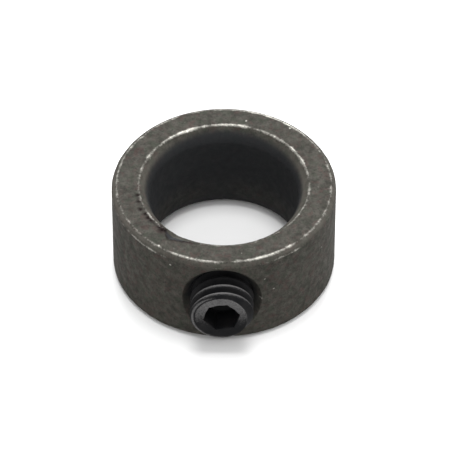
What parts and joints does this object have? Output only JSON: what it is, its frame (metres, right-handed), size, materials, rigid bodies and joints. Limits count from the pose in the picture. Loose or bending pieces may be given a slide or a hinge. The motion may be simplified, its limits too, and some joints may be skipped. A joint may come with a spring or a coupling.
{
  "type": "shaft collar",
  "caption": "One-piece steel shaft collar with a plain bore, held on its shaft by a radial hexagon socket set screw in a countersunk tapped hole.",
  "frame": {"origin": "on the axis of the shaft bore, in the plane of the collar's bottom face", "axes": "+Z along the shaft bore; the set screw points to -Y, so that tightening it moves it along +Y; +X to the right when looking into the hexagon socket"},
  "size_m": [0.021, 0.0229, 0.01],
  "materials": {
    "collar_black_oxide": "satin",
    "screw_black_oxide": "satin"
  },
  "bodies": {
    "collar": {"collar_ring": "collar_black_oxide"},
    "screw_point": {"set_screw_flat_point": "screw_black_oxide"},
    "screw": {"set_screw": "screw_black_oxide"}
  },
  "joints": [
    {"name": "screw_travel", "type": "slide", "parent": "collar", "child": "screw_point", "axis": [0, 1, 0], "range_m": [-0.0005, 0.00185]},
    {"name": "screw_turn", "type": "hinge", "parent": "screw_point", "child": "screw", "pos_m": [0, -0.0085, 0.005], "axis": [0, 1, 0], "range_deg": [-180, 666]}
  ],
  "couplings": [
    {"joint": "screw_turn", "follows": "screw_travel", "rad_per_m": 6283.2}
  ]
}
